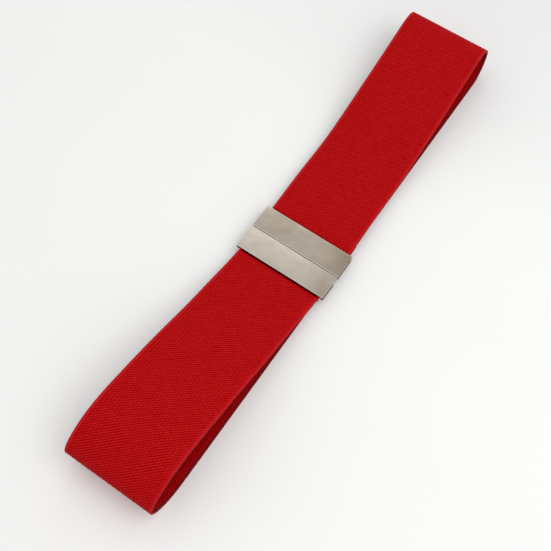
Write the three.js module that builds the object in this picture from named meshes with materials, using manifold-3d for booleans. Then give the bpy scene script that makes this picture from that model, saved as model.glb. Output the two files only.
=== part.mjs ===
// Elastic stretch belt: a wide woven elastic band, closed into a loop by a flat interlocking metal
// clasp, lying on its back as a flattened loop with the clasp on top.
//
// Millimetres, +Z up. +X runs along the belt towards its far fold and +Y across its width. The
// belt is laid out from the clasp's seam, and at the end moved so that the origin lies on the
// surface under it, below the middle of its outline.
import * as THREE from 'three';
import { mergeVertices } from 'three/addons/utils/BufferGeometryUtils.js';
import Module from 'manifold-3d';

const wasm = await Module();
wasm.setup();

// Webbing
const bandWidth = 50;
const bandThickness = 1.3;
const selvageChamfer = 0.3;

// The loop as it lies. A reach runs from the seam to the outside of a fold, a loop height from
// the surface to the highest point of the run on top.
const nearReach = 151.6;
const farReach = 170.7;
const nearLoopHeight = 31;
const farLoopHeight = 26;

// Clasp: the length over both plates, the plates, and the metal under them
const claspLength = 29.6;
const plateThickness = 1;
const plateRounding = 0.35;
const plateEndRounding = 0.25;
const earThickness = 1.2;
const barWidth = 3;
const barThickness = 1;
const nearTilt = 1.5;
const hookWidth = 44;
const hookThickness = 1.1;
const lipThickness = 1.1;
const hookRounding = 0.25;
const farBarInset = 1.7;
const earMargin = 0.6;

// Sewn ends: the stretch from the bar to the seam's start, and the whole tail past the bar
const sewDistance = 3.6;
const tailLength = 9.5;

// Clearances
const gap = 0.3;
const seamGap = 0.3;
const sidePlay = 0.9;
const hookPlay = 0.4;
const wrapRoom = 1.2;

// Stations of each top run and its fold, on the middle of the webbing. along is a share of the
// reach, rise a share of the loop height over the run on the surface, and aside a share of the
// band's width by which the belt lies off the clasp's middle, towards +Y.
const nearStations = [
  { along: 0.240, rise: 0.269, aside: 0.011 },
  { along: 0.400, rise: 0.462, aside: 0.016 },
  { along: 0.560, rise: 0.715, aside: 0.021 },
  { along: 0.720, rise: 0.902, aside: 0.027 },
  { along: 0.860, rise: 0.988, aside: 0.031 },
  { along: 0.951, rise: 0.847, aside: 0.035 },
  { along: 1.000, rise: 0.580, aside: 0.037 },
  { along: 0.943, rise: 0.106, aside: 0.033 },
  { along: 0.839, rise: 0.000, aside: 0.030 },
];
const farStations = [
  { along: 0.240, rise: 0.209, aside: 0.007 },
  { along: 0.400, rise: 0.225, aside: 0.008 },
  { along: 0.560, rise: 0.461, aside: 0.010 },
  { along: 0.720, rise: 0.711, aside: 0.020 },
  { along: 0.860, rise: 0.932, aside: 0.030 },
  { along: 0.951, rise: 0.975, aside: 0.036 },
  { along: 1.000, rise: 0.474, aside: 0.040 },
  { along: 0.975, rise: 0.067, aside: 0.030 },
  { along: 0.924, rise: 0.000, aside: 0.020 },
];

// Fineness of the bent webbing: the longest step, and the largest turn from step to step
const longestStep = 7;
const largestTurn = THREE.MathUtils.degToRad(8);

// Heights that follow from the stack under the plates, from the surface up: the run on the
// surface, the folded-back ply, the strap bar, the upper ply and the plate.
const foldedPlyLow = bandThickness + gap;
const barLow = foldedPlyLow + bandThickness + gap;
const upperPlyLow = barLow + barThickness + gap;
const plateLow = upperPlyLow + bandThickness + gap;
const plateTop = plateLow + plateThickness;
const floorMid = bandThickness / 2;
const barMid = barLow + barThickness / 2;
const wrapRadius = (barThickness + bandThickness) / 2 + gap;

// Places along the belt, measured outwards from the seam
const plateStart = seamGap / 2;
const plateEdge = claspLength / 2;
const turnDepth = gap + bandThickness;
const nearBar = {};
nearBar.inner = plateStart + hookThickness + wrapRoom + turnDepth;
nearBar.outer = nearBar.inner + barWidth;
const farBar = {};
farBar.outer = plateEdge - farBarInset;
farBar.inner = farBar.outer - barWidth;
const tipEnd = farBar.inner - turnDepth - wrapRoom;
const tipStart = tipEnd - hookThickness;
const lipEnd = tipStart - hookPlay;
const lipStart = lipEnd - lipThickness;

// Widths of the clasp
const earInner = bandWidth / 2 + sidePlay;
const earOuter = earInner + earThickness;

// The near half leans back a little about the seam's upper edge, because the run that it holds
// climbs more steeply than the other. Points hold u, outwards from the seam, and the height.
function lean([u, height], degrees) {
  const angle = THREE.MathUtils.degToRad(degrees);
  const drop = height - plateTop;
  return [
    u * Math.cos(angle) - drop * Math.sin(angle),
    plateTop + u * Math.sin(angle) + drop * Math.cos(angle),
  ];
}

// Second derivatives of a cubic spline through values at the given places, with fixed end slopes
function splineBends(places, values, startSlope, endSlope) {
  const last = places.length - 1;
  const step = (i) => places[i + 1] - places[i];
  const slope = (i) => (values[i + 1] - values[i]) / step(i);
  const diagonal = [];
  const rest = [];
  for (let i = 0; i <= last; i++) {
    const before = i > 0 ? step(i - 1) : 0;
    const after = i < last ? step(i) : 0;
    const leftSlope = i > 0 ? slope(i - 1) : startSlope;
    const rightSlope = i < last ? slope(i) : endSlope;
    diagonal.push(2 * (before + after));
    rest.push(6 * (rightSlope - leftSlope));
    if (i > 0) {
      const factor = before / diagonal[i - 1];
      diagonal[i] -= factor * before;
      rest[i] -= factor * rest[i - 1];
    }
  }
  const bends = [];
  for (let i = last; i >= 0; i--) {
    const carried = i < last ? step(i) * bends[i + 1] : 0;
    bends[i] = (rest[i] - carried) / diagonal[i];
  }
  return bends;
}

// A smooth route through points of [u, height, aside], as a stiff strip bends: a cubic spline on
// the length along the chords, with the given direction at each end
function smoothRoute(points, startWay, endWay, samplesPerSpan) {
  const places = [0];
  for (let i = 1; i < points.length; i++) {
    const chord = Math.hypot(points[i][0] - points[i - 1][0], points[i][1] - points[i - 1][1]);
    places.push(places[i - 1] + chord);
  }
  const axes = [0, 1, 2].map((k) => {
    const values = points.map((point) => point[k]);
    return { values, bends: splineBends(places, values, startWay[k], endWay[k]) };
  });
  const route = [];
  for (let i = 0; i < points.length - 1; i++) {
    const span = places[i + 1] - places[i];
    for (let j = 0; j < samplesPerSpan; j++) {
      const b = j / samplesPerSpan;
      const a = 1 - b;
      route.push(axes.map(({ values, bends }) => {
        const curved = (a ** 3 - a) * bends[i] + (b ** 3 - b) * bends[i + 1];
        return a * values[i] + b * values[i + 1] + (curved * span * span) / 6;
      }));
    }
  }
  route.push(points[points.length - 1]);
  return route;
}

// One half of the webbing's route, from its sewn end round the strap bar, along the top run and
// round the fold to where it reaches the surface
function halfRoute({ bar, degrees, reach, loopHeight, stations }) {
  const tilt = THREE.MathUtils.degToRad(degrees);
  const upperMid = barMid + wrapRadius;
  const lowerMid = barMid - wrapRadius;
  const turnCentre = bar.inner + barThickness / 2;

  const sideReach = reach - bandThickness / 2;
  const climb = loopHeight - bandThickness;
  const runStart = [...lean([bar.outer, upperMid], degrees), 0];
  const runEdge = [...lean([plateEdge, upperMid], degrees), 0];
  const points = stations.map(({ along, rise, aside }) => [
    along * sideReach,
    floorMid + rise * climb,
    aside * bandWidth,
  ]);
  const outwards = [Math.cos(tilt), Math.sin(tilt), 0];
  const inwards = [-1, 0, 0];
  const run = smoothRoute([runStart, runEdge, ...points], outwards, inwards, 24);

  const turn = [];
  const turnSteps = 14;
  for (let i = 0; i <= turnSteps; i++) {
    const angle = -Math.PI / 2 - (Math.PI * i) / turnSteps;
    const u = turnCentre + wrapRadius * Math.cos(angle);
    const height = barMid + wrapRadius * Math.sin(angle);
    turn.push([...lean([u, height], degrees), 0]);
  }

  // The tail lies under the run that it is sewn to, one thickness and the gap below its middle
  const plyDrop = bandThickness + gap;
  const tail = [];
  for (let i = 1; i < run.length - 1; i++) {
    const [u, height, aside] = run[i];
    if (u < bar.outer + sewDistance) continue;
    if (u > bar.outer + tailLength) break;
    const du = run[i + 1][0] - run[i - 1][0];
    const dh = run[i + 1][1] - run[i - 1][1];
    const size = Math.hypot(du, dh);
    tail.push([u + (plyDrop * dh) / size, height - (plyDrop * du) / size, aside]);
  }
  const tailStart = tail[0];
  const lowerEnd = [...lean([bar.outer, lowerMid], degrees), 0];
  const climbIn = smoothRoute([lowerEnd, tailStart], outwards, outwards, 12);

  return [
    ...tail.slice(1).reverse(),
    ...climbIn.slice(1).reverse(),
    lowerEnd,
    ...turn,
    ...run,
  ];
}

// Keeps only the points that the bends and the longest step call for
function thinRoute(route) {
  const kept = [route[0]];
  let lastWay = null;
  for (let i = 1; i < route.length - 1; i++) {
    const from = kept[kept.length - 1];
    const way = Math.atan2(route[i + 1][1] - route[i][1], route[i + 1][0] - route[i][0]);
    if (lastWay === null) lastWay = way;
    const turn = Math.abs(Math.atan2(Math.sin(way - lastWay), Math.cos(way - lastWay)));
    const length = Math.hypot(route[i][0] - from[0], route[i][1] - from[1]);
    if (turn >= largestTurn || length >= longestStep) {
      kept.push(route[i]);
      lastWay = way;
    }
  }
  kept.push(route[route.length - 1]);
  return kept;
}

// A closed body from rings of points: neighbouring rings are joined, and the ends are capped
function bodyFromRings(rings) {
  const count = rings[0].length;
  const positions = rings.flat(2);
  const index = [];
  for (let i = 0; i < rings.length - 1; i++) {
    for (let j = 0; j < count; j++) {
      const k = (j + 1) % count;
      const a = i * count + j;
      const b = i * count + k;
      index.push(a, b, a + count, b, b + count, a + count);
    }
  }
  const lastRing = (rings.length - 1) * count;
  for (let j = 1; j < count - 1; j++) {
    index.push(0, j + 1, j);
    index.push(lastRing, lastRing + j, lastRing + j + 1);
  }
  const geometry = new THREE.BufferGeometry();
  geometry.setAttribute('position', new THREE.Float32BufferAttribute(positions, 3));
  geometry.setIndex(index);
  return geometry;
}

// The webbing: one strip from the near sewn end to the far one
function bandGeometry() {
  const nearHalf = halfRoute({
    bar: nearBar,
    degrees: nearTilt,
    reach: nearReach,
    loopHeight: nearLoopHeight,
    stations: nearStations,
  }).map(([u, height, aside]) => [-u, height, aside]);
  const farHalf = halfRoute({
    bar: farBar,
    degrees: 0,
    reach: farReach,
    loopHeight: farLoopHeight,
    stations: farStations,
  }).reverse();

  const route = thinRoute([...nearHalf, ...onSurface(nearHalf, farHalf), ...farHalf]);
  const halfWidth = bandWidth / 2;
  const halfDepth = bandThickness / 2;
  const inset = selvageChamfer;
  const section = [
    [-halfWidth + inset, -halfDepth],
    [halfWidth - inset, -halfDepth],
    [halfWidth, -halfDepth + inset],
    [halfWidth, halfDepth - inset],
    [halfWidth - inset, halfDepth],
    [-halfWidth + inset, halfDepth],
    [-halfWidth, halfDepth - inset],
    [-halfWidth, -halfDepth + inset],
  ];
  const rings = route.map(([x, z, y], i) => {
    const before = route[Math.max(i - 1, 0)];
    const after = route[Math.min(i + 1, route.length - 1)];
    const size = Math.hypot(after[0] - before[0], after[1] - before[1]);
    const outX = -(after[1] - before[1]) / size;
    const outZ = (after[0] - before[0]) / size;
    return section.map(([across, depth]) => [x + outX * depth, y + across, z + outZ * depth]);
  });
  return bodyFromRings(rings);
}

// The straight run on the surface, between the two folds
function onSurface(nearHalf, farHalf) {
  const from = nearHalf[nearHalf.length - 1];
  const to = farHalf[0];
  const steps = Math.ceil((to[0] - from[0]) / longestStep);
  const points = [];
  for (let i = 1; i < steps; i++) {
    const share = i / steps;
    points.push(from.map((value, k) => value + (to[k] - value) * share));
  }
  return points;
}

// A rounded outline in the plane of the belt's side view, from low to high corner
function roundedOutline(lowX, lowZ, highX, highZ, radius) {
  const r = Math.min(radius, (highX - lowX) / 2.01, (highZ - lowZ) / 2.01);
  const outline = new THREE.Shape();
  outline.absarc(highX - r, lowZ + r, r, -Math.PI / 2, 0);
  outline.absarc(highX - r, highZ - r, r, 0, Math.PI / 2);
  outline.absarc(lowX + r, highZ - r, r, Math.PI / 2, Math.PI);
  outline.absarc(lowX + r, lowZ + r, r, Math.PI, 1.5 * Math.PI);
  return outline;
}

// Extrudes a side-view outline across the belt, with its ends rounded over
function acrossBelt(outline, lowY, highY, rounding) {
  const geometry = new THREE.ExtrudeGeometry(outline, {
    depth: highY - lowY - 2 * rounding,
    curveSegments: 4,
    bevelEnabled: rounding > 0,
    bevelThickness: rounding,
    bevelSize: rounding,
    bevelOffset: -rounding,
    bevelSegments: 3,
  });
  geometry.rotateX(Math.PI / 2);
  geometry.translate(0, highY - rounding, 0);
  return geometry;
}

function solidFrom(geometry) {
  const bare = geometry.clone();
  bare.deleteAttribute('normal');
  bare.deleteAttribute('uv');
  const merged = mergeVertices(bare, 1e-4);
  return new wasm.Manifold(new wasm.Mesh({
    numProp: 3,
    vertProperties: new Float32Array(merged.attributes.position.array),
    triVerts: new Uint32Array(merged.index.array),
  }));
}

function joined(geometries) {
  const solid = geometries.map(solidFrom).reduce((sum, next) => sum.add(next));
  const mesh = solid.getMesh();
  const geometry = new THREE.BufferGeometry();
  geometry.setAttribute('position', new THREE.Float32BufferAttribute(mesh.vertProperties, 3));
  geometry.setIndex(Array.from(mesh.triVerts));
  return geometry;
}

// What both halves have: the front plate, and two ears that carry the strap bar under it.
// side is -1 for the near half and 1 for the far half.
function plateWithBar(side, bar, earStart, earEnd) {
  const span = (start, end) => (side < 0 ? [-end, -start] : [start, end]);
  const [plateLowX, plateHighX] = span(plateStart, plateEdge);
  const [barLowX, barHighX] = span(bar.inner, bar.outer);
  const [earLowX, earHighX] = span(earStart, earEnd);
  const sink = plateThickness / 2;
  const plate = roundedOutline(plateLowX, plateLow, plateHighX, plateTop, plateRounding);
  const barOutline = roundedOutline(barLowX, barLow, barHighX, barLow + barThickness, barThickness / 2);
  const ear = roundedOutline(earLowX, barLow, earHighX, plateLow + sink, barThickness / 2);
  const barEnd = earInner + earThickness / 2;
  return [
    acrossBelt(plate, -earOuter, earOuter, plateEndRounding),
    acrossBelt(barOutline, -barEnd, barEnd, 0),
    acrossBelt(ear, -earOuter, -earInner, 0),
    acrossBelt(ear, earInner, earOuter, 0),
  ];
}

// The hook: a web down from the near plate, a tongue under the far plate and a tip turned up
function hookOutline() {
  const webLowX = -plateStart - hookThickness;
  const tongueHigh = barMid;
  const tongueLow = tongueHigh - hookThickness;
  const tipTop = plateLow - gap - hookRounding;
  const webTop = plateLow + plateThickness / 2;
  const bend = hookThickness;
  const corner = hookRounding;
  const outline = new THREE.Shape();
  outline.moveTo(-plateStart, tongueHigh);
  outline.lineTo(-plateStart, webTop);
  outline.lineTo(webLowX, webTop);
  outline.absarc(webLowX + bend, tongueLow + bend, bend, Math.PI, 1.5 * Math.PI);
  outline.absarc(tipEnd - bend, tongueLow + bend, bend, -Math.PI / 2, 0);
  outline.absarc(tipEnd - corner, tipTop - corner, corner, 0, Math.PI / 2);
  outline.absarc(tipStart + corner, tipTop - corner, corner, Math.PI / 2, Math.PI);
  outline.lineTo(tipStart, tongueHigh);
  return outline;
}

// The catch: a lip that hangs from the far plate behind the hook's tip
function lipOutline() {
  const lipLow = barMid + gap + hookRounding;
  return roundedOutline(lipStart, lipLow, lipEnd, plateLow + plateThickness / 2, hookRounding);
}

function hookHalfGeometry() {
  const pieces = plateWithBar(-1, nearBar, nearBar.inner, plateEdge - earMargin);
  pieces.push(acrossBelt(hookOutline(), -hookWidth / 2, hookWidth / 2, 0));
  const geometry = joined(pieces);
  geometry.translate(0, 0, -plateTop);
  return geometry;
}

function catchHalfGeometry() {
  const pieces = plateWithBar(1, farBar, plateStart + plateRounding, farBar.outer + earMargin);
  pieces.push(acrossBelt(lipOutline(), -hookWidth / 2, hookWidth / 2, 0));
  return joined(pieces);
}

function webbingMaterial() {
  return new THREE.MeshStandardMaterial({ color: 0xb01018, roughness: 0.85, metalness: 0 });
}

function nickelMaterial() {
  return new THREE.MeshStandardMaterial({ color: 0xb9b0a3, roughness: 0.3, metalness: 1 });
}

function namedMesh(name, geometry, material) {
  geometry.computeVertexNormals();
  const mesh = new THREE.Mesh(geometry, material);
  mesh.name = name;
  return mesh;
}

const belt = new THREE.Group();
belt.add(namedMesh('elastic_band', bandGeometry(), webbingMaterial()));

// The near half hangs on the seam's upper edge, about which it leans
const nearHinge = new THREE.Group();
nearHinge.position.z = plateTop;
nearHinge.rotation.y = THREE.MathUtils.degToRad(nearTilt);
nearHinge.add(namedMesh('clasp_hook_half', hookHalfGeometry(), nickelMaterial()));
belt.add(nearHinge);
belt.add(namedMesh('clasp_catch_half', catchHalfGeometry(), nickelMaterial()));

// The origin goes to the surface under the middle of the belt's outline
const outlineBox = new THREE.Box3().setFromObject(belt);
const outlineMiddle = outlineBox.getCenter(new THREE.Vector3());
belt.position.set(-outlineMiddle.x, -outlineMiddle.y, -outlineBox.min.z);

export default belt;
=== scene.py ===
# %% [markdown]
# # Elastic stretch belt
#
# A wide red elastic belt, fastened by a flat two-plate metal clasp. It lies on its back as a
# flattened loop: the lower run rests on the table, the upper run climbs from the clasp to a
# rounded fold at each end. The metal comes ready from the construction model. This script weaves
# the webbing, sews its ends, gives every surface its finish and sets up the table and the light.
#
# All lengths are written in millimetres and turned into metres where Blender needs them.

# %% Load the construction model
import math

import bpy
import numpy as np
from mathutils import Matrix, Vector


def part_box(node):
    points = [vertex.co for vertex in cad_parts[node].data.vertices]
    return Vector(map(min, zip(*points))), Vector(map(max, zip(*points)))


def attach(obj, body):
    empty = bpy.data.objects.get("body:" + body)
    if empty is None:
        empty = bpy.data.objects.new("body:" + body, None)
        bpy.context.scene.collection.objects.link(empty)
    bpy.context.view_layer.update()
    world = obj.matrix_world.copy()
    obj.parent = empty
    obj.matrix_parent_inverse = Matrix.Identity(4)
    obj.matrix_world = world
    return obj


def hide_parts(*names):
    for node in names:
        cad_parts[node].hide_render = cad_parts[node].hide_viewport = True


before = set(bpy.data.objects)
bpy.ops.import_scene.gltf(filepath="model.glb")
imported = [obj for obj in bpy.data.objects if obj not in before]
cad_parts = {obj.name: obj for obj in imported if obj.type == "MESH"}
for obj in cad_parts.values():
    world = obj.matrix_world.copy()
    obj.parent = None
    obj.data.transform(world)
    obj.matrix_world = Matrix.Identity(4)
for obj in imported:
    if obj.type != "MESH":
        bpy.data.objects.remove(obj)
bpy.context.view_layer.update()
MM = 0.001

# %% [markdown]
# ## Where things are
#
# The belt is laid out from the seam between the two plates: x runs along the belt from the seam,
# y across the webbing from the clasp's middle, and z up from the table. The far plate starts half
# a seam's width past the seam, so its box gives both the seam and the clasp's middle, and no
# number has to be fitted.

# %% The seam and the clasp's middle
SEAM_HALF = 0.15
catch_low, catch_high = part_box("clasp_catch_half")
seam_x = catch_low.x / MM - SEAM_HALF
middle_y = (catch_low.y + catch_high.y) / 2 / MM


def placed(x, y, z):
    """A point of the belt's layout, in the model's own frame and in metres."""
    return Vector(((seam_x + x) * MM, (middle_y + y) * MM, z * MM))


print("seam at x =", round(seam_x, 2), "and the clasp's middle at y =", round(middle_y, 2))

# %% [markdown]
# ## The camera
#
# The belt was seen from above and from its near side, at about 64 degrees over the table and
# turned so that it runs from the lower left to the upper right. A camera could be aimed by a
# constraint, but it is easiest to place as a photographer would: a point to look at, two angles, a
# distance and a small roll. The lens then follows from the width of view.

# %% Place the camera
LOOK_AT = (-14.8, 1.88, 0)
AZIMUTH = math.radians(-60.11)
ELEVATION = math.radians(64.25)
ROLL = math.radians(4.72)
DISTANCE = 456.7
SENSOR = 36
LENS = 56.35
NEAREST_SEEN = 10

away = Vector((
    math.sin(AZIMUTH) * math.cos(ELEVATION),
    -math.cos(AZIMUTH) * math.cos(ELEVATION),
    math.sin(ELEVATION),
))
level_right = Vector((math.cos(AZIMUTH), math.sin(AZIMUTH), 0))
level_up = away.cross(level_right)
right = math.cos(ROLL) * level_right + math.sin(ROLL) * level_up
up = math.cos(ROLL) * level_up - math.sin(ROLL) * level_right

camera_data = bpy.data.cameras.new("camera")
camera_data.sensor_width = SENSOR
camera_data.lens = LENS
camera_data.clip_start = NEAREST_SEEN * MM
camera = bpy.data.objects.new("camera", camera_data)
turned = Matrix((right, up, away)).transposed().to_4x4()
camera.matrix_world = Matrix.Translation(placed(*LOOK_AT) + away * DISTANCE * MM) @ turned
bpy.context.scene.collection.objects.link(camera)
bpy.context.scene.camera = camera
print("camera at", [round(v, 3) for v in camera.matrix_world.translation])

# %% [markdown]
# ## The webbing's route
#
# The belt is one strip of woven elastic. Seen from the side it starts as a tail sewn under the
# plate, turns round the strap bar, runs up to the fold, comes down round it and lies flat on the
# table, and the other half does the same in reverse. The route could be simulated, but a strip
# this stiff keeps a clean curve, so a cubic spline through a few stations is truer and repeats
# exactly. The stations are shares of each half's reach and height, as in the construction model.

# %% Sizes of the webbing and of what it passes
BAND_WIDTH = 50
BAND_THICKNESS = 1.3
BAR_THICKNESS = 1
PLATE_EDGE = 14.8
PLATE_TOP = 7.1
GAP = 0.3
SEW_DISTANCE = 3.6
TAIL_LENGTH = 9.5

BAR_LOW = 2 * (BAND_THICKNESS + GAP)
BAR_MIDDLE = BAR_LOW + BAR_THICKNESS / 2
WRAP_RADIUS = (BAR_THICKNESS + BAND_THICKNESS) / 2 + GAP
print("the webbing turns round each bar on a radius of", WRAP_RADIUS, "mm")

# %% [markdown]
# Each half of the belt is a small table. A station gives three shares: how far along the reach it
# lies, how high, and how far the webbing has drifted sideways, which is a share of its width. The
# order is that of the webbing: out along the upper run, round the fold and back to the table.

# %% The two halves
NEAR_HALF = {
    "side": -1,
    "bar": (4.05, 7.05),
    "tilt": 1.5,
    "reach": 151.6,
    "height": 31,
    "stations": [
        (0.240, 0.269, 0.011),
        (0.400, 0.462, 0.016),
        (0.560, 0.715, 0.021),
        (0.720, 0.902, 0.027),
        (0.860, 0.988, 0.031),
        (0.951, 0.847, 0.035),
        (1.000, 0.580, 0.037),
        (0.943, 0.106, 0.033),
        (0.839, 0.000, 0.030),
    ],
}
FAR_HALF = {
    "side": 1,
    "bar": (10.1, 13.1),
    "tilt": 0,
    "reach": 170.7,
    "height": 26,
    "stations": [
        (0.240, 0.209, 0.007),
        (0.400, 0.225, 0.008),
        (0.560, 0.461, 0.010),
        (0.720, 0.711, 0.020),
        (0.860, 0.932, 0.030),
        (0.951, 0.975, 0.036),
        (1.000, 0.474, 0.040),
        (0.975, 0.067, 0.030),
        (0.924, 0.000, 0.020),
    ],
}
for half_name, half in (("near", NEAR_HALF), ("far", FAR_HALF)):
    print(half_name, "half:", half["reach"], "mm out and", half["height"], "mm high")


# %% A strip bent through points
SPAN_POINTS = 80


def bent_through(points, start_way, end_way):
    """A cubic spline through points of (u, height, aside), on the length along their chords."""
    points = np.array(points, float)
    steps = np.hypot(*np.diff(points[:, :2], axis=0).T)
    slopes = np.diff(points, axis=0) / steps[:, None]
    ways = np.vstack([start_way, slopes, end_way])
    count = len(points)
    weights = np.zeros((count, count))
    for i, step in enumerate(steps):
        weights[i, i] += 2 * step
        weights[i + 1, i + 1] += 2 * step
        weights[i, i + 1] = weights[i + 1, i] = step
    bends = np.linalg.solve(weights, 6 * np.diff(ways, axis=0))
    b = np.linspace(0, 1, SPAN_POINTS, endpoint=False)[:, None]
    a = 1 - b
    spans = []
    for i, step in enumerate(steps):
        curved = (a**3 - a) * bends[i] + (b**3 - b) * bends[i + 1]
        spans.append(a * points[i] + b * points[i + 1] + curved * step**2 / 6)
    return np.vstack([*spans, points[-1:]])


def lean(u, height, degrees):
    """A point of a half that leans back by some degrees about the seam's upper edge."""
    angle = math.radians(degrees)
    drop = height - PLATE_TOP
    return (
        u * math.cos(angle) - drop * math.sin(angle),
        PLATE_TOP + u * math.sin(angle) + drop * math.cos(angle),
    )


# %% One half's run, from the strap bar over the fold to the table
UPPER = BAR_MIDDLE + WRAP_RADIUS
LOWER = BAR_MIDDLE - WRAP_RADIUS


def outwards_of(half):
    """The way in which a half's webbing leaves its plate."""
    angle = math.radians(half["tilt"])
    return (math.cos(angle), math.sin(angle), 0)


def run_of(half):
    side_reach = half["reach"] - BAND_THICKNESS / 2
    climb = half["height"] - BAND_THICKNESS
    stations = [
        (along * side_reach, BAND_THICKNESS / 2 + rise * climb, aside * BAND_WIDTH)
        for along, rise, aside in half["stations"]
    ]
    under_plate = [(*lean(u, UPPER, half["tilt"]), 0) for u in (half["bar"][1], PLATE_EDGE)]
    return bent_through(under_plate + stations, outwards_of(half), (-1, 0, 0))


# %% What comes before the run: the sewn tail and the turn round the bar
TURN_POINTS = 60


def tail_of(half, run):
    """The tail lies under the run, a thickness and a gap below it."""
    outer = half["bar"][1]
    sewn = (run[:, 0] >= outer + SEW_DISTANCE) & (run[:, 0] <= outer + TAIL_LENGTH)
    sewn &= np.arange(len(run)) < len(run) // 2
    ways = np.gradient(run[:, :2], axis=0)
    ways /= np.linalg.norm(ways, axis=1)[:, None]
    drop = BAND_THICKNESS + GAP
    return np.column_stack([
        run[:, 0] + drop * ways[:, 1],
        run[:, 1] - drop * ways[:, 0],
        run[:, 2],
    ])[sewn]


def half_route(half):
    """Points of (u, height, aside), and how many of them come before the run on top."""
    inner, outer = half["bar"]
    degrees = half["tilt"]
    run = run_of(half)
    tail = tail_of(half, run)
    turn = []
    for angle in np.linspace(-math.pi / 2, -1.5 * math.pi, TURN_POINTS):
        u = inner + BAR_THICKNESS / 2 + WRAP_RADIUS * math.cos(angle)
        turn.append((*lean(u, BAR_MIDDLE + WRAP_RADIUS * math.sin(angle), degrees), 0))
    lower_end = (*lean(outer, LOWER, degrees), 0)
    outwards = outwards_of(half)
    climb_in = bent_through([lower_end, tail[0]], outwards, outwards)
    before = np.vstack([tail[::-1], climb_in[-2:0:-1], [lower_end], turn])
    return np.vstack([before, run]), len(before)


# %% The whole route, with its length and its directions
TABLE_POINTS = 400


def chords(points):
    return np.hypot(*np.diff(points[:, :2], axis=0).T)


near, near_lead = half_route(NEAR_HALF)
far, far_lead = half_route(FAR_HALF)
near[:, 0] *= NEAR_HALF["side"]
far[:, 0] *= FAR_HALF["side"]
table_run = np.linspace(near[-1], far[-1], TABLE_POINTS)[1:-1]
route = np.vstack([near, table_run, far[::-1]])
route = route[np.append(True, chords(route) > 1e-6)]
lengths = np.append(0, np.cumsum(chords(route)))
headings = np.unwrap(np.arctan2(*np.gradient(route[:, :2], axis=0).T[::-1]))
BAND_LENGTH = lengths[-1]
print("webbing, mm:", round(BAND_LENGTH, 1), "long from end to end")


# %% A place on the webbing
def on_band(s, y, depth):
    """Points of the webbing s from its first end, y across it, and depth to its inner side."""
    x, z, aside = (np.interp(s, lengths, route[:, k]) for k in range(3))
    heading = np.interp(s, lengths, headings)
    x = x - np.sin(heading) * depth
    z = z + np.cos(heading) * depth
    return np.stack([(seam_x + x) * MM, (middle_y + y + aside) * MM, z * MM], axis=-1)


print("middle of the lower run:", on_band(BAND_LENGTH / 2, 0, 0).round(4))

# %% [markdown]
# ## The weave
#
# The webbing is a fine twill: ribs 1.2 mm apart run across it on a slant, the same way on both
# faces, and a smooth selvage binds each edge. Ribs this fine are often left to a bump map. Here
# they are real ridges, and they stay cheap because the rows of the mesh follow them: a row never
# crosses a rib, so four rows make a rib. The slanted rows can't turn round the narrow strap bar,
# so the ends that hide under the plates get straight rows instead.

# %% Sizes of the weave
RIB_PITCH = 1.19
RIB_SLANT = math.radians(42)
RIB_DEPTH = 0.07
INNER_RIB_DEPTH = 0.15
GROOVE_SHARPNESS = 1.3
ROW_PLACES = (0, 0.25, 0.5, 0.75)
TWILL_COLUMN_COUNT = 15
HALF_WIDTH = BAND_WIDTH / 2
HALF_DEPTH = BAND_THICKNESS / 2
RIB_STEP = RIB_PITCH / math.cos(RIB_SLANT)
print("a rib every", round(RIB_STEP, 2), "mm along the belt")

# %% [markdown]
# Across the webbing the mesh has few columns. From the edge inwards they are the edge's rounding,
# the selvage cord, the groove beside it, and then the even twill. A column is a place across the
# webbing and half the thickness there.

# %% Columns across the webbing
SELVAGE = 1.3
GROOVE_WIDTH = 0.45
TWILL_EDGE = HALF_WIDTH - SELVAGE - GROOVE_WIDTH
EDGE_COLUMNS = (
    (HALF_WIDTH - 0.04, 0.30),
    (HALF_WIDTH - 0.20, 0.56),
    (HALF_WIDTH - 0.55, HALF_DEPTH),
    (HALF_WIDTH - SELVAGE + 0.25, 0.60),
    (HALF_WIDTH - SELVAGE, 0.52),
    (TWILL_EDGE, HALF_DEPTH),
)
TWILL_COLUMNS = np.linspace(-1, 1, TWILL_COLUMN_COUNT + 2)[1:-1] * TWILL_EDGE
RELIEF_MARGIN = 0.1


def section():
    """Rows of (y, depth, share of relief), over the outer face and back over the inner one."""
    left = [(-y, d) for y, d in EDGE_COLUMNS]
    right_side = [(y, d) for y, d in reversed(EDGE_COLUMNS)]
    face = left + [(y, HALF_DEPTH) for y in TWILL_COLUMNS] + right_side
    relief_ends = HALF_WIDTH - SELVAGE - RELIEF_MARGIN
    outer = [(y, -d, 1 if abs(y) < relief_ends else 0) for y, d in face]
    inner = [(y, d, 1 if abs(y) < relief_ends else 0) for y, d in reversed(face)]
    return np.array(outer + inner)


SECTION = section()
print("section:", len(SECTION), "points")

# %% [markdown]
# The ribs of the inner face lie in the grooves of the outer one, because they are the same threads
# on their way back. There they are a little deeper, and less light reaches them, so the inner
# face gets a stronger share of the grooves' painted shade.

# %% Rows that follow the ribs
INNER_SHADE = 2.0
INNER_SHIFT = 0.5


def groove(place):
    """1 in the groove between two ribs and 0 on a rib's top, by the place in the pitch."""
    return (0.5 + 0.5 * np.cos(2 * math.pi * place)) ** GROOVE_SHARPNESS


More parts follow.
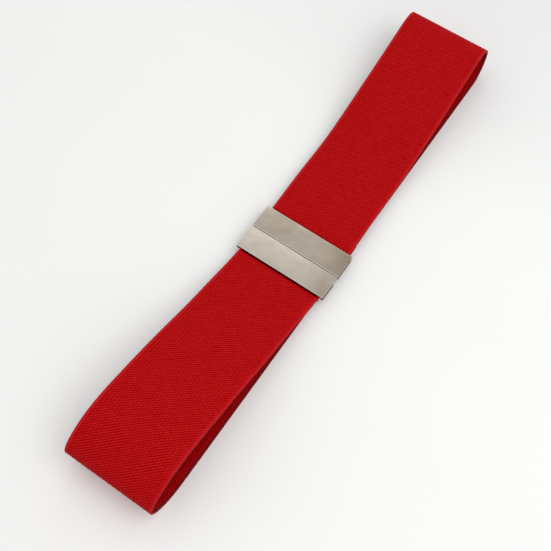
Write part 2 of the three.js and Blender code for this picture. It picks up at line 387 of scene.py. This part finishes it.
def slanted_rows(start, end):
    """The twill between two places along the webbing: every point's s, y, depth and groove."""
    slant = math.tan(RIB_SLANT)
    first = math.floor((start - HALF_WIDTH * slant) / RIB_STEP)
    last = math.ceil((end + HALF_WIDTH * slant) / RIB_STEP)
    places = (np.arange(first, last)[:, None] + np.array(ROW_PLACES)).ravel()
    starts = places * RIB_STEP
    low = (start - starts) / slant
    high = (end - starts) / slant
    kept = (low < HALF_WIDTH) & (high > -HALF_WIDTH)
    places, starts, low, high = places[kept], starts[kept], low[kept], high[kept]
    y = np.clip(SECTION[None, :, 0], low[:, None], high[:, None])
    s = starts[:, None] + y * slant
    side = np.sign(SECTION[None, :, 1])
    shift = np.where(side > 0, INNER_SHIFT, 0)
    sunk = groove(places[:, None] + shift) * SECTION[None, :, 2]
    depth = SECTION[None, :, 1] - side * sunk * np.where(side > 0, INNER_RIB_DEPTH, RIB_DEPTH)
    return s, y, depth, sunk * np.where(side > 0, INNER_SHADE, 1)


# %% Straight rows for the hidden ends
STRAIGHT_STEP = 0.5
MIDDLE_GROOVE = 0.4


def straight_rows(start, end):
    """A plain stretch, for the ends that pass round the strap bars."""
    s = np.linspace(start, end, int((end - start) / STRAIGHT_STEP) + 2)[:, None]
    y = SECTION[None, :, 0] + 0 * s
    sunk = SECTION[None, :, 2] * MIDDLE_GROOVE + 0 * s
    depth = SECTION[None, :, 1] - np.sign(SECTION[None, :, 1]) * sunk * RIB_DEPTH
    return s + 0 * y, y, depth, sunk


# %% Faces between rows
MERGE_WITHIN = 0.002


def grid_faces(rows, columns, first, capped):
    """Quads round the section from row to row, with an end cap before the first or after the
    last row where it is asked for."""
    i, j = np.meshgrid(np.arange(rows - 1), np.arange(columns), indexing="ij")
    k = (j + 1) % columns
    corners = [i * columns + j, (i + 1) * columns + j, (i + 1) * columns + k, i * columns + k]
    faces = (np.stack(corners, -1).reshape(-1, 4) + first).tolist()
    half = columns // 2
    for row, flip in capped:
        base = first + row * columns
        for m in range(half - 1):
            cap = [base + m, base + m + 1, base + columns - 2 - m, base + columns - 1 - m]
            faces.append(cap[::-1] if flip else cap)
    return faces


def tidy_faces(points, faces):
    """Points that fell together become one, and faces that lost their area go."""
    rounded = np.round(points / (MERGE_WITHIN * MM)).astype(np.int64)
    _, first, same = np.unique(rounded, axis=0, return_index=True, return_inverse=True)
    same = same.ravel()
    kept = []
    for face in faces:
        ring = []
        for corner in face:
            point = int(same[corner])
            if point not in ring:
                ring.append(point)
        if len(ring) > 2:
            kept.append(ring)
    return first, kept


# %% [markdown]
# The webbing is built from three stretches: the near end round its bar, the long twill stretch,
# and the far end round its bar. Each point also carries its place on the cloth as a UV map in
# metres, how deep in a groove it lies, and whether it is on the inner face, so the finish can
# follow the threads.

# %% Where the stretches meet
NEAR_UNDER_PLATE = 1.6
FAR_UNDER_PLATE = 1.2
run_start = lengths[near_lead]
far_turn = chords(far[:far_lead + 1]).sum()
PLATE_EDGES = (
    run_start + PLATE_EDGE - NEAR_HALF["bar"][1],
    BAND_LENGTH - far_turn - PLATE_EDGE + FAR_HALF["bar"][1],
)
twill_start = PLATE_EDGES[0] - NEAR_UNDER_PLATE
twill_end = PLATE_EDGES[1] + FAR_UNDER_PLATE
print("twill from", round(twill_start, 1), "to", round(twill_end, 1), "mm along the webbing")


# %% Weave the webbing
def weave():
    stretches = (
        (straight_rows(0, twill_start), [(0, False)]),
        (slanted_rows(twill_start, twill_end), []),
        (straight_rows(twill_end, BAND_LENGTH), [(-1, True)]),
    )
    points, cloth, sunk_all, inner_all, faces = [], [], [], [], []
    count = 0
    for (s, y, depth, sunk), caps in stretches:
        rows, columns = y.shape
        caps = [(row % rows, flip) for row, flip in caps]
        faces += grid_faces(rows, columns, count, caps)
        points.append(on_band(s, y, depth).reshape(-1, 3))
        cloth.append(np.stack([s, y], -1).reshape(-1, 2) * MM)
        sunk_all.append(sunk.ravel())
        inner_all.append((depth > 0).ravel())
        count += rows * columns
    points = np.vstack(points)
    first, faces = tidy_faces(points, faces)
    marks = {"groove": np.concatenate(sunk_all)[first], "inner": np.concatenate(inner_all)[first]}
    return points[first], faces, np.vstack(cloth)[first], marks


def cloth_mesh(points, faces, cloth, marks):
    mesh = bpy.data.meshes.new("webbing")
    mesh.from_pydata(points.tolist(), [], faces)
    corners = np.empty(len(mesh.loops), np.int32)
    mesh.loops.foreach_get("vertex_index", corners)
    layer = mesh.uv_layers.new(name="cloth")
    layer.data.foreach_set("uv", cloth[corners].ravel())
    for name, values in marks.items():
        attribute = mesh.attributes.new(name, "FLOAT", "POINT")
        attribute.data.foreach_set("value", values.astype(np.float32))
    mesh.polygons.foreach_set("use_smooth", np.ones(len(mesh.polygons), bool))
    mesh.update()
    return mesh


webbing = bpy.data.objects.new("webbing", cloth_mesh(*weave()))
bpy.context.scene.collection.objects.link(webbing)
triangles = sum(len(p.vertices) - 2 for p in webbing.data.polygons)
print("webbing:", triangles, "triangles")

# %% The webbing stands for its plain solid
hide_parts("elastic_band")
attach(webbing, "root")


# %% [markdown]
# ## Helpers for finishes
#
# A finish is a small network of nodes. It could be drawn by hand in the shader editor, but in a
# script it stays readable and can be repeated. These helpers keep each one to a few lines: a new
# material with its shader, a node with its settings, and sums of sockets.

# %% Node helpers
def new_finish(name):
    material = bpy.data.materials.new(name)
    material.use_nodes = True
    tree = material.node_tree
    shader = tree.nodes["Principled BSDF"]
    return material, tree, shader


def node(tree, kind, inputs=(), **settings):
    """A node with its settings; an input is a number or another node's output."""
    made = tree.nodes.new(kind)
    for key, value in settings.items():
        setattr(made, key, value)
    for key, value in dict(inputs).items():
        if isinstance(value, bpy.types.NodeSocket):
            tree.links.new(value, made.inputs[key])
        else:
            made.inputs[key].default_value = value
    return made


def maths(tree, operation, a, b=0.0, c=0.0, clamp=False):
    made = node(tree, "ShaderNodeMath", {0: a, 1: b, 2: c}, operation=operation, use_clamp=clamp)
    return made.outputs[0]


def noise(tree, place, scale, detail):
    inputs = {"Vector": place, "Scale": scale, "Detail": detail}
    return node(tree, "ShaderNodeTexNoise", inputs).outputs[0]


# %% Helpers for colours
def ramp(tree, value, stops):
    made = node(tree, "ShaderNodeValToRGB", {0: value})
    points = made.color_ramp.elements
    while len(points) < len(stops):
        points.new(0.5)
    for point, (place, colour) in zip(points, stops):
        point.position = place
        point.color = (*colour, 1)
    return made.outputs[0]


def painted_over(tree, colour, share, over):
    """One colour or socket over another, by a share from 0 to 1."""
    below, above = ((*c, 1) if isinstance(c, tuple) else c for c in (colour, over))
    made = node(tree, "ShaderNodeMix", {0: share, 6: below, 7: above}, data_type="RGBA")
    return made.outputs[2]


def report_finish(material):
    print(material.name + ":", len(material.node_tree.nodes), "nodes")


# %% [markdown]
# ## The webbing's finish
#
# Dyed polyester yarn over rubber threads: a deep matt red that hardly mirrors anything. What the
# eye reads as cloth is the groove between the ribs, darkened by painted shade, the single threads
# that cross each rib, a little unevenness from thread to thread, and the plainer, brighter
# selvage.
# An image of cloth would do the same from afar, but it repeats, and it blurs close up. Sine waves
# and noise on the cloth's own UV map stay sharp and follow every bend.

# %% The threads of the twill
THREAD = 0.455
FLOAT_PITCH = 1.72
BEAD_SWING = 0.27
CROSSING_SWING = 0.13


def thread_waves(tree, along, across):
    """Single threads lie along the belt, side by side. Across it the floats repeat too, which
    breaks every rib into short beads."""
    threads = maths(tree, "MULTIPLY", across, 2 * math.pi / (THREAD * MM))
    threads = maths(tree, "MULTIPLY_ADD", maths(tree, "SINE", threads), 0.5, 0.5)

    along_turns = maths(tree, "MULTIPLY", along, 2 * math.pi / (RIB_STEP * MM))
    across_turns = maths(tree, "MULTIPLY", across, 2 * math.pi / (FLOAT_PITCH * MM))
    beads = maths(tree, "SINE", across_turns)
    crossing = maths(tree, "SINE", maths(tree, "ADD", along_turns, across_turns))
    floats = maths(tree, "MULTIPLY_ADD", beads, BEAD_SWING, 0.5)
    floats = maths(tree, "MULTIPLY_ADD", crossing, CROSSING_SWING, floats)
    return threads, floats


# %% Uneven yarn
TIGHTNESS_SCALE = 240
TIGHTNESS_SPREAD = 0.6
TIGHTNESS_LEAST = 0.55
STREAKS_ALONG = 700
STREAKS_ACROSS = 2200


def unevenness(tree, cloth, along, across):
    """Slow clouds, where the weave is tighter or looser, and thin streaks along the belt."""
    clouds = noise(tree, cloth, TIGHTNESS_SCALE, 3)
    tightness = maths(tree, "MULTIPLY_ADD", clouds, TIGHTNESS_SPREAD, TIGHTNESS_LEAST)
    place = node(tree, "ShaderNodeCombineXYZ", {
        0: maths(tree, "MULTIPLY", along, STREAKS_ALONG),
        1: maths(tree, "MULTIPLY", across, STREAKS_ACROSS),
    }).outputs[0]
    return tightness, noise(tree, place, 1, 2)


# %% Painted shade in the grooves and between the floats, and the yarn's uneven tone
GROOVE_SHARE = 0.41
FLOAT_SHARE = 0.19
THREAD_SHARE = -0.06
STREAK_SHARE = 0.5
LEAST_DEPTH = 0.03
# Painted shadow of the plates on the cloth fades out over these distances from their edges
PLATE_SHADE_FROM = 0.3
PLATE_SHADE_REACH = 1.5


def groove_shade_and_tone(tree, along, sunk, threads, floats, tightness, streaks):
    """From 0 on the tops of the threads to 1 in the deepest painted shade of the grooves and
    floats; the streaks add the yarn's uneven tone.
    """
    depth = maths(tree, "MULTIPLY", maths(tree, "MULTIPLY", sunk, tightness), GROOVE_SHARE)
    floats = maths(tree, "MULTIPLY", floats, tightness)
    depth = maths(tree, "MULTIPLY_ADD", floats, FLOAT_SHARE, depth)
    depth = maths(tree, "ADD", depth, LEAST_DEPTH)
    depth = maths(tree, "MULTIPLY_ADD", threads, THREAD_SHARE, depth)
    uneven = maths(tree, "SUBTRACT", streaks, 0.5)
    depth = maths(tree, "MULTIPLY_ADD", uneven, STREAK_SHARE, depth, clamp=True)

    # Painted shadow: close to the plates the cloth is darkened as if it lay in their shade
    plate_shade = 0.0
    for edge in PLATE_EDGES:
        off = maths(tree, "ABSOLUTE", maths(tree, "SUBTRACT", along, edge * MM))
        limits = {0: off, 1: PLATE_SHADE_REACH * MM, 2: PLATE_SHADE_FROM * MM}
        plate_shade = maths(tree, "ADD", node(tree, "ShaderNodeMapRange", limits).outputs[0], plate_shade)
    return maths(tree, "MAXIMUM", depth, plate_shade)


# %% [markdown]
# The selvage is bound more densely and looks brighter. Its outermost threads, rounded away from
# the light, get painted shade, and on the inner face, in the shade of the run above it, it gets
# darker painted shade.

# %% Reds of the cloth and its edges, and their painted shades
RED = (0.463, 0.0026, 0.0040)
# Painted shade: darker reds for the grooves and the gaps between floats
GROOVE_SHADE_RED = (0.218, 0.0006, 0.0012)
DEEP_SHADE_RED = (0.040, 0.0004, 0.0008)
SELVAGE_RED = (0.430, 0.0020, 0.0050)
# Painted shade for the selvage's outermost threads and for the selvage on the inner face
EDGE_SHADE_RED = (0.270, 0.0020, 0.0035)
INNER_EDGE_SHADE_RED = (0.150, 0.0010, 0.0030)
OUTERMOST = 0.3


def edged(tree, colour, across):
    """The cloth's colour, with the selvages' colours over it: painted shade on the outermost
    threads and on the inner face's selvage.
    """
    from_middle = maths(tree, "ABSOLUTE", across)
    on_selvage = maths(tree, "GREATER_THAN", from_middle, (HALF_WIDTH - SELVAGE) * MM)
    on_edge = maths(tree, "GREATER_THAN", from_middle, (HALF_WIDTH - OUTERMOST) * MM)
    inner = node(tree, "ShaderNodeAttribute", attribute_name="inner").outputs["Fac"]
    edges = painted_over(tree, SELVAGE_RED, on_edge, EDGE_SHADE_RED)
    edges = painted_over(tree, edges, inner, INNER_EDGE_SHADE_RED)
    return painted_over(tree, colour, on_selvage, edges)


# %% [markdown]
# The same waves that colour the threads also raise them, by less than a tenth of a millimetre.
# That is too fine for the mesh, so it is left to a bump. Only the tops of the threads mirror a
# little light.

# %% Red twill
GROOVE_SHADE_RED_FROM = 0.55
THREAD_RISE = 0.35
STREAK_RISE = 0.5
FLOAT_RISE = -0.9
BUMP_HEIGHT = 0.08
BUMP_STRENGTH = 0.8
GLINT = 0.22
GLINT_FOCUS = 3.0
CLOTH_ROUGHNESS = 0.7


def twill_finish():
    material, tree, shader = new_finish("red twill")
    cloth = node(tree, "ShaderNodeUVMap", uv_map="cloth").outputs[0]
    split = node(tree, "ShaderNodeSeparateXYZ", {0: cloth})
    along, across = split.outputs[0], split.outputs[1]
    sunk = node(tree, "ShaderNodeAttribute", attribute_name="groove").outputs["Fac"]
    threads, floats = thread_waves(tree, along, across)
    tightness, streaks = unevenness(tree, cloth, along, across)
    depth = groove_shade_and_tone(tree, along, sunk, threads, floats, tightness, streaks)
    # Painted shade of the grooves and floats, over the yarn's uneven tone, sets the red
    colour = ramp(tree, depth, [(0.0, RED), (GROOVE_SHADE_RED_FROM, GROOVE_SHADE_RED), (1.0, DEEP_SHADE_RED)])
    tree.links.new(edged(tree, colour, across), shader.inputs["Base Color"])

    height = maths(tree, "MULTIPLY", streaks, STREAK_RISE)
    height = maths(tree, "MULTIPLY_ADD", threads, THREAD_RISE, height)
    height = maths(tree, "MULTIPLY_ADD", floats, FLOAT_RISE, height)
    relief = {"Height": height, "Distance": BUMP_HEIGHT * MM, "Strength": BUMP_STRENGTH}
    bump = node(tree, "ShaderNodeBump", relief)
    tree.links.new(bump.outputs[0], shader.inputs["Normal"])

    # The tops of the floats catch a little light, and the grooves none
    top = maths(tree, "SUBTRACT", 1.0, maths(tree, "MULTIPLY", depth, 2.0), clamp=True)
    glint = maths(tree, "MULTIPLY", maths(tree, "POWER", top, GLINT_FOCUS), GLINT)
    tree.links.new(glint, shader.inputs["Specular IOR Level"])
    shader.inputs["Roughness"].default_value = CLOTH_ROUGHNESS
    return material


webbing.data.materials.append(twill_finish())
report_finish(webbing.data.materials[0])

# %% [markdown]
# ## The sewn ends
#
# Each end of the webbing is folded round its strap bar and sewn down with thread of the same red.
# The rows lie across the webbing under the plates. A curve with a round bevel could follow the
# whole seam, but a row of short round stitches, each dipping into the cloth at both ends, is
# quicker to model than one endless thread and looks the same.

# %% One stitch
STITCH_LENGTH = 2.6
THREAD_RADIUS = 0.12
STITCH_RISE = 1.6
STITCH_SINK = 0.6
RINGS = 7
SIDES = 6


def stitch(row_s, across):
    """Points of a thread that rises out of the outer face and dips back, ring after ring."""
    places = np.linspace(-0.5, 0.5, RINGS)
    y = across + places * STITCH_LENGTH
    lift = (np.cos(places * math.pi) * STITCH_RISE - STITCH_SINK) * THREAD_RADIUS
    turn = np.linspace(0, 2 * math.pi, SIDES, endpoint=False)
    s = row_s + np.cos(turn)[None, :] * THREAD_RADIUS + 0 * y[:, None]
    out = lift[:, None] + np.sin(turn)[None, :] * THREAD_RADIUS
    return on_band(s, y[:, None] + 0 * s, -HALF_DEPTH - out).reshape(-1, 3)


def stitch_faces(base):
    """Quads between the rings, and a cap on each end."""
    faces = []
    for r in range(RINGS - 1):
        for k in range(SIDES):
            m = (k + 1) % SIDES
            low, high = base + r * SIDES, base + (r + 1) * SIDES
            faces.append([low + k, low + m, high + m, high + k])
    faces.append([base + k for k in range(SIDES)][::-1])
    faces.append([base + (RINGS - 1) * SIDES + k for k in range(SIDES)])
    return faces


# %% Rows of stitches
STITCH_GAP = 0.5
SEWN_MARGIN = 2
ROW_FROM_BAR = 4.6
ROW_FROM_END = 2.5


def stitch_rows(rows, name):
    pitch = STITCH_LENGTH + STITCH_GAP
    count = int((BAND_WIDTH - 2 * SEWN_MARGIN) / pitch)
    points, faces = [], []
    for s in rows:
        for n in range(count):
            faces += stitch_faces(len(points) * RINGS * SIDES)
            points.append(stitch(s, (n - (count - 1) / 2) * pitch))
    mesh = bpy.data.meshes.new(name)
    mesh.from_pydata(np.vstack(points).tolist(), [], faces)
    mesh.polygons.foreach_set("use_smooth", np.ones(len(mesh.polygons), bool))
    mesh.update()
    made = bpy.data.objects.new(name, mesh)
    bpy.context.scene.collection.objects.link(made)
    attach(made, "root")
    return made


near_stitches = stitch_rows([run_start + ROW_FROM_BAR, ROW_FROM_END], "near_stitches")
far_stitches = stitch_rows([BAND_LENGTH - ROW_FROM_END], "far_stitches")
print("stitches:", len(near_stitches.data.polygons) + len(far_stitches.data.polygons), "faces")

# %% [markdown]
# The webbing was cut as one straight strip before it was folded and sewn.

# %% [markdown]
# Sewing thread is twisted, so a fine diagonal wave runs along it: the strands keep their red,
# and painted shade darkens the hollows between them. It is a little glossier than the webbing.

# %% Sewing thread
# The darker colour is painted shade in the hollows between the strands
THREAD_SHADE = (0.22, 0.003, 0.005)
THREAD_RED = (0.46, 0.008, 0.012)


def thread_finish():
    material, tree, shader = new_finish("red sewing thread")
    place = node(tree, "ShaderNodeTexCoord").outputs["Object"]
    waves = {"Vector": place, "Scale": 900, "Distortion": 1.5, "Detail": 1}
    twist = node(tree, "ShaderNodeTexWave", waves, bands_direction="DIAGONAL").outputs[1]
    colour = ramp(tree, twist, [(0.0, THREAD_SHADE), (1.0, THREAD_RED)])
    tree.links.new(colour, shader.inputs["Base Color"])
    bump = node(tree, "ShaderNodeBump", {"Height": twist, "Distance": 0.04 * MM})
    tree.links.new(bump.outputs[0], shader.inputs["Normal"])
    shader.inputs["Roughness"].default_value = 0.6
    shader.inputs["Specular IOR Level"].default_value = 0.15
    return material


for piece in (near_stitches, far_stitches):
    piece.data.materials.append(thread_finish())
    report_finish(piece.data.materials[0])

# %% [markdown]
# ## The clasp's finish
#
# The clasp is cast and plated with satin nickel: a warm grey metal that mirrors its surroundings
# softly. Polishing leaves the sheet a little uneven, so the reflection breaks into faint clouds,
# and the metal turns browner towards one end. The far half is painted darker and browner all over
# as painted shade. Rounded edges are painted brighter, as rubbed wear with a painted highlight,
# while the cut edges and the ears under them are painted nearly black as painted shade. The
# metal's shape stays as it was constructed.

# %% Colours of the metal
NICKEL = (0.530, 0.480, 0.408)
NICKEL_BROWN = (0.33, 0.255, 0.190)
# Painted shade: upright cut edges and ears are painted nearly black and not metallic
CUT_EDGE_SHADE = (0.018, 0.016, 0.014)
# Rubbed wear and a painted highlight on the rounded edges
WORN_EDGE_HIGHLIGHT = (0.86, 0.83, 0.78)
# The metal turns browner towards one end, across these distances
BROWNER_FROM = -12
BROWNER_TO = -27
END_BROWN = 0.55
CLOUDED_BROWN = 0.9
CLOUD_SCALE = 75


def nickel_colour(tree, place, across, brown_and_shade):
    """Warm grey in faint clouds, browner towards one end; the half's share of brown and painted
    shade is added to all of it.
    """
    inputs = {"Vector": place, "Scale": CLOUD_SCALE, "Detail": 2, "Roughness": 0.5}
    clouds = node(tree, "ShaderNodeTexNoise", inputs).outputs[0]
    limits = {0: across, 1: BROWNER_FROM * MM, 2: BROWNER_TO * MM}
    towards_end = node(tree, "ShaderNodeMapRange", limits, interpolation_type="SMOOTHSTEP").outputs[0]
    brown = maths(tree, "MULTIPLY_ADD", clouds, CLOUDED_BROWN, brown_and_shade - CLOUDED_BROWN / 2)
    brown = maths(tree, "MULTIPLY_ADD", towards_end, END_BROWN, brown, clamp=True)
    return ramp(tree, brown, [(0.0, NICKEL), (1.0, NICKEL_BROWN)])


# %% [markdown]
# How far the surface is turned up picks its paint. The plates' faces are level and stay satin
# nickel; their rounded edges lean and are painted brighter, as rubbed wear with a painted
# highlight; the cut edges stand upright and are painted nearly black, as painted shade. The edges
# could also be painted as faces of their own, but this way the metal's mesh stays as it is.

# %% Satin nickel
LEVEL_FROM = 0.96
UPRIGHT_BELOW = 0.55
SMOOTHEST = 0.13
FINE_SCALE = 2500
FINE_ROUGHNESS = 0.03
CUT_ROUGHNESS = 0.3
SHEET_SCALE = 120
SHEET_HEIGHT = 0.12
FINE_HEIGHT = 0.008


def nickel_finish(name, brown_and_shade):
    material, tree, shader = new_finish(name)
    place = node(tree, "ShaderNodeTexCoord").outputs["Object"]
    geometry = node(tree, "ShaderNodeNewGeometry").outputs
    across = node(tree, "ShaderNodeSeparateXYZ", {0: geometry["Position"]}).outputs[1]
    colour = nickel_colour(tree, place, across, brown_and_shade)

    facing = node(tree, "ShaderNodeSeparateXYZ", {0: geometry["Normal"]}).outputs[2]
    facing = maths(tree, "ABSOLUTE", facing)
    # Leaning rounded edges: rubbed wear with a painted highlight
    worn_and_highlit = maths(tree, "LESS_THAN", facing, LEVEL_FROM)
    # Upright faces: painted shade, nearly black and not metallic
    cut = maths(tree, "LESS_THAN", facing, UPRIGHT_BELOW)
    colour = painted_over(tree, painted_over(tree, colour, worn_and_highlit, WORN_EDGE_HIGHLIGHT), cut, CUT_EDGE_SHADE)
    tree.links.new(colour, shader.inputs["Base Color"])
    tree.links.new(maths(tree, "SUBTRACT", 1.0, cut), shader.inputs["Metallic"])

    fine = noise(tree, place, FINE_SCALE, 2)
    rough = maths(tree, "MULTIPLY_ADD", fine, FINE_ROUGHNESS, SMOOTHEST)
    rough = maths(tree, "MULTIPLY_ADD", cut, CUT_ROUGHNESS, rough)
    tree.links.new(rough, shader.inputs["Roughness"])
    height = maths(tree, "MULTIPLY_ADD", fine, FINE_HEIGHT, noise(tree, place, SHEET_SCALE, 1))
    relief = {"Height": height, "Distance": SHEET_HEIGHT * MM, "Strength": 0.5}
    bump = node(tree, "ShaderNodeBump", relief)
    tree.links.new(bump.outputs[0], shader.inputs["Normal"])
    shader.inputs["Specular IOR Level"].default_value = 0.15
    return material


# The far plate, the catch half, gets the larger share: painted shade over the faint brown of both
for name, brown_and_shade in (("clasp_hook_half", 0.05), ("clasp_catch_half", 0.42)):
    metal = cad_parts[name]
    metal.data.materials.clear()
    metal.data.materials.append(nickel_finish(name.replace("_", " ") + " nickel", brown_and_shade))
    report_finish(metal.data.materials[0])

# %% [markdown]
# ## The table
#
# The belt lies on a pale, plain, matt surface that runs on far past the view. It could have edges
# and a thickness, but none of that is seen, so one plane is all it needs. It looks slightly darker
# past the belt's far end. That fall is put in its finish, with the faintest clouds, because a lamp
# that made it would dim the belt too.

# %% Table
TABLE_SIZE = 40
TABLE_PALE = (0.815, 0.815, 0.805)
TABLE_DIM = (0.70, 0.70, 0.70)
DIM_FROM = 80
DIM_TO = 260
DIM_SHARE = 0.8
TABLE_CLOUDS = 0.2


def table_finish():
    material, tree, shader = new_finish("pale table")
    place = node(tree, "ShaderNodeTexCoord").outputs["Object"]
    clouds = maths(tree, "MULTIPLY", noise(tree, place, 9, 2), TABLE_CLOUDS)
    along = node(tree, "ShaderNodeSeparateXYZ", {0: place}).outputs[0]
    limits = {0: along, 1: DIM_FROM * MM, 2: DIM_TO * MM}
    far_end = node(tree, "ShaderNodeMapRange", limits).outputs[0]
    shade = maths(tree, "MULTIPLY_ADD", far_end, DIM_SHARE, clouds)
    colour = ramp(tree, shade, [(0.0, TABLE_PALE), (1.0, TABLE_DIM)])
    tree.links.new(colour, shader.inputs["Base Color"])
    shader.inputs["Roughness"].default_value = 0.7
    shader.inputs["Specular IOR Level"].default_value = 0.1
    return material


reach = TABLE_SIZE / 2
corners = [(-reach, -reach, 0), (reach, -reach, 0), (reach, reach, 0), (-reach, reach, 0)]
table_mesh = bpy.data.meshes.new("table")
table_mesh.from_pydata(corners, [], [(0, 1, 2, 3)])
table = bpy.data.objects.new("table", table_mesh)
table.data.materials.append(table_finish())
bpy.context.scene.collection.objects.link(table)
report_finish(table.data.materials[0])

# %% [markdown]
# ## The light
#
# The belt's shadow is wide and faint on both sides, and a little stronger to the left and in
# front. That is the light of a pale room with large windows. A picture of a real room could light
# the belt too, but a few numbers say what it needs: an even world does most of the work, a little
# brighter at the horizon than overhead. A broad, weak panel overhead and to the right gives the
# shadows their direction, and a small one past the far end puts a soft sheen on the metal.

# %% Lamps
PANEL_FROM = Vector((-0.03, -0.36, 0.77))
PANEL_SIZE = 0.75
PANEL_POWER = 2.85
CARD_FROM = Vector((0.85, 0.25, 1.00))
CARD_SIZE = 0.55
CARD_POWER = 0.8


def panel(name, position, size, power):
    data = bpy.data.lights.new(name, "AREA")
    data.shape = "SQUARE"
    data.size = size
    data.energy = power
    made = bpy.data.objects.new(name, data)
    made.location = position
    made.rotation_euler = (-position).to_track_quat("-Z", "Y").to_euler()
    bpy.context.scene.collection.objects.link(made)
    print(name, "at", [round(v, 2) for v in position], "with", power, "W")


panel("overhead_panel", PANEL_FROM, PANEL_SIZE, PANEL_POWER)
panel("far_card", CARD_FROM, CARD_SIZE, CARD_POWER)

# %% The pale room
HORIZON_LIGHT = 0.95
OVERHEAD_LIGHT = 0.80
world = bpy.data.worlds.new("room")
world.use_nodes = True
sky = world.node_tree
direction = node(sky, "ShaderNodeTexCoord").outputs["Generated"]
height = node(sky, "ShaderNodeSeparateXYZ", {0: direction}).outputs[2]
room = ramp(sky, height, [(0.0, (HORIZON_LIGHT,) * 3), (1.0, (OVERHEAD_LIGHT,) * 3)])
sky.links.new(room, sky.nodes["Background"].inputs[0])
bpy.context.scene.world = world
bpy.context.scene.view_settings.view_transform = "Standard"
print("room light from", OVERHEAD_LIGHT, "overhead to", HORIZON_LIGHT, "at the horizon")
